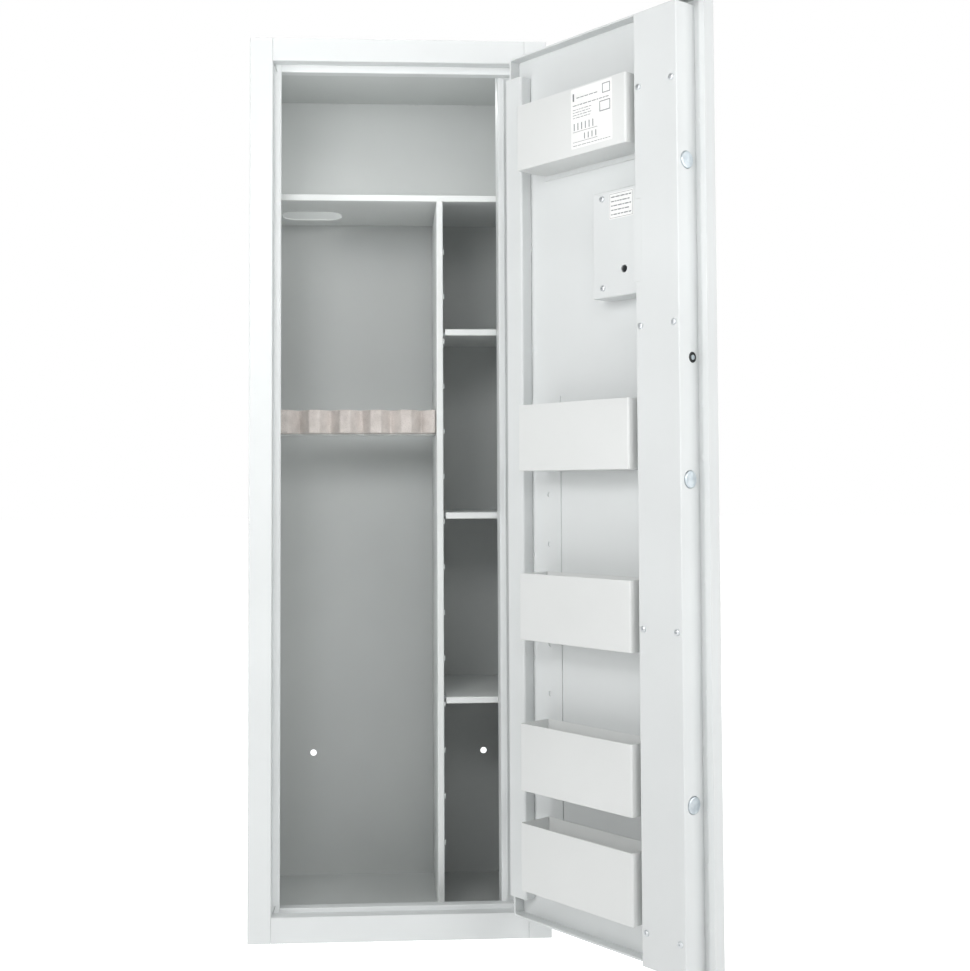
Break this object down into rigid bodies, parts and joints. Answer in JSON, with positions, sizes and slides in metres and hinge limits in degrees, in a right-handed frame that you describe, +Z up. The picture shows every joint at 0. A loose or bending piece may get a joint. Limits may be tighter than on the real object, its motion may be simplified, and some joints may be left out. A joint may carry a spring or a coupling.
{
  "type": "gun safe",
  "caption": "Tall folded-steel gun cabinet with a side-hinged door, sliding boltwork worked by a handle, keypad lock, foam barrel rest, shelves and door bins.",
  "frame": {"origin": "middle of the cabinet's base, on the floor", "axes": "+Z up, +X towards the hinge side, the door opening faces -Y"},
  "size_m": [0.7022, 0.7398, 1.5],
  "materials": {
    "body_coat": "light grey powder coat, fine texture",
    "frame_coat": "light grey powder coat, fine texture",
    "shelf_coat": "light grey powder coat, satin",
    "door_coat": "light grey powder coat, fine texture",
    "bin_coat": "light grey powder coat, satin",
    "zinc_plate": "bright zinc plate",
    "bolt_steel": "ground and nickel plated steel",
    "rivet_aluminium": "plain",
    "spring_steel": "drawn wire",
    "lock_casting": "die-cast zinc, dull",
    "keypad_plastic": "moulded ABS, fine grain",
    "key_rubber": "moulded silicone rubber",
    "handle_chrome": "satin chrome plate",
    "bush_nylon": "turned black nylon",
    "rest_foam": "closed-cell foam, cut"
  },
  "bodies": {
    "cabinet": {"side_panel_left": "body_coat", "side_panel_right": "body_coat", "back_panel": "body_coat", "top_panel": "body_coat", "floor_panel": "body_coat", "frame_stile_latch": "frame_coat", "frame_stile_hinge": "frame_coat", "frame_rail_top": "frame_coat", "frame_rail_bottom": "frame_coat", "hinge_side_post": "frame_coat", "top_shelf": "shelf_coat", "divider_panel": "shelf_coat", "shelf_upper": "shelf_coat", "shelf_middle": "shelf_coat", "shelf_lower": "shelf_coat", "shelf_clips": "zinc_plate", "barrel_rest": "rest_foam", "barrel_rest_bracket": "shelf_coat", "frame_hinge_barrels": "frame_coat", "hinge_pins": "zinc_plate"},
    "door": {"door_panel": "door_coat", "door_hinge_barrels": "door_coat", "dog_bar": "door_coat", "bin_rail": "door_coat", "bin_rivets": "rivet_aluminium", "door_bin_1": "bin_coat", "door_bin_2": "bin_coat", "door_bin_3": "bin_coat", "door_bin_4": "bin_coat", "door_bin_5": "bin_coat", "lock_channel": "door_coat", "channel_standoffs": "zinc_plate", "cover_screws": "zinc_plate", "free_edge_stiffener": "door_coat", "bolt_guides": "zinc_plate", "plunger_spring": "spring_steel", "plunger_bush": "bush_nylon", "lock_cover": "door_coat", "lock_body": "lock_casting", "keypad_housing": "keypad_plastic", "handle_rose": "handle_chrome"},
    "bolt_work": {"bolt_bar": "zinc_plate", "locking_bolts": "bolt_steel"},
    "handle": {"handle_lever": "handle_chrome", "handle_spindle": "zinc_plate", "drive_cam": "zinc_plate"},
    "latch": {"lock_latch": "bolt_steel"},
    "plunger": {"spring_plunger": "bolt_steel"},
    "button_0": {"key_0": "key_rubber"},
    "button_1": {"key_1": "key_rubber"},
    "button_2": {"key_2": "key_rubber"},
    "button_3": {"key_3": "key_rubber"},
    "button_4": {"key_4": "key_rubber"},
    "button_5": {"key_5": "key_rubber"},
    "button_6": {"key_6": "key_rubber"},
    "button_7": {"key_7": "key_rubber"},
    "button_8": {"key_8": "key_rubber"},
    "button_9": {"key_9": "key_rubber"},
    "button_clear": {"key_clear": "key_rubber"},
    "button_enter": {"key_enter": "key_rubber"}
  },
  "joints": [
    {"name": "door_hinge", "type": "hinge", "parent": "cabinet", "child": "door", "pos_m": [0.209, -0.1955, 0], "axis": [0, 0, 1], "range_deg": [-126.8, 48.2]},
    {"name": "handle_turn", "type": "hinge", "parent": "door", "child": "handle", "pos_m": [0.39182, -0.50332, 0.95], "axis": [0.8007, 0.599, 0], "range_deg": [0, 90]},
    {"name": "bolt_slide", "type": "slide", "parent": "door", "child": "bolt_work", "axis": [0.599, -0.8007, 0], "range_m": [0, 0.026]},
    {"name": "latch_slide", "type": "slide", "parent": "door", "child": "latch", "axis": [0, 0, 1], "range_m": [0, 0.008]},
    {"name": "plunger_slide", "type": "slide", "parent": "door", "child": "plunger", "axis": [0.599, -0.8007, 0], "range_m": [-0.006, 0], "stiffness_N_per_m": 300, "springref_m": 0.002, "deforming": ["plunger_spring"]},
    {"name": "press_0", "type": "slide", "parent": "door", "child": "button_0", "axis": [-0.8007, -0.599, 0], "range_m": [0, 0.0012], "stiffness_N_per_m": 800, "springref_m": -0.0003},
    {"name": "press_1", "type": "slide", "parent": "door", "child": "button_1", "axis": [-0.8007, -0.599, 0], "range_m": [0, 0.0012], "stiffness_N_per_m": 800, "springref_m": -0.0003},
    {"name": "press_2", "type": "slide", "parent": "door", "child": "button_2", "axis": [-0.8007, -0.599, 0], "range_m": [0, 0.0012], "stiffness_N_per_m": 800, "springref_m": -0.0003},
    {"name": "press_3", "type": "slide", "parent": "door", "child": "button_3", "axis": [-0.8007, -0.599, 0], "range_m": [0, 0.0012], "stiffness_N_per_m": 800, "springref_m": -0.0003},
    {"name": "press_4", "type": "slide", "parent": "door", "child": "button_4", "axis": [-0.8007, -0.599, 0], "range_m": [0, 0.0012], "stiffness_N_per_m": 800, "springref_m": -0.0003},
    {"name": "press_5", "type": "slide", "parent": "door", "child": "button_5", "axis": [-0.8007, -0.599, 0], "range_m": [0, 0.0012], "stiffness_N_per_m": 800, "springref_m": -0.0003},
    {"name": "press_6", "type": "slide", "parent": "door", "child": "button_6", "axis": [-0.8007, -0.599, 0], "range_m": [0, 0.0012], "stiffness_N_per_m": 800, "springref_m": -0.0003},
    {"name": "press_7", "type": "slide", "parent": "door", "child": "button_7", "axis": [-0.8007, -0.599, 0], "range_m": [0, 0.0012], "stiffness_N_per_m": 800, "springref_m": -0.0003},
    {"name": "press_8", "type": "slide", "parent": "door", "child": "button_8", "axis": [-0.8007, -0.599, 0], "range_m": [0, 0.0012], "stiffness_N_per_m": 800, "springref_m": -0.0003},
    {"name": "press_9", "type": "slide", "parent": "door", "child": "button_9", "axis": [-0.8007, -0.599, 0], "range_m": [0, 0.0012], "stiffness_N_per_m": 800, "springref_m": -0.0003},
    {"name": "press_clear", "type": "slide", "parent": "door", "child": "button_clear", "axis": [-0.8007, -0.599, 0], "range_m": [0, 0.0012], "stiffness_N_per_m": 800, "springref_m": -0.0003},
    {"name": "press_enter", "type": "slide", "parent": "door", "child": "button_enter", "axis": [-0.8007, -0.599, 0], "range_m": [0, 0.0012], "stiffness_N_per_m": 800, "springref_m": -0.0003}
  ],
  "couplings": [
    {"joint": "bolt_slide", "follows": "handle_turn", "m_per_rad": 0.01655}
  ]
}
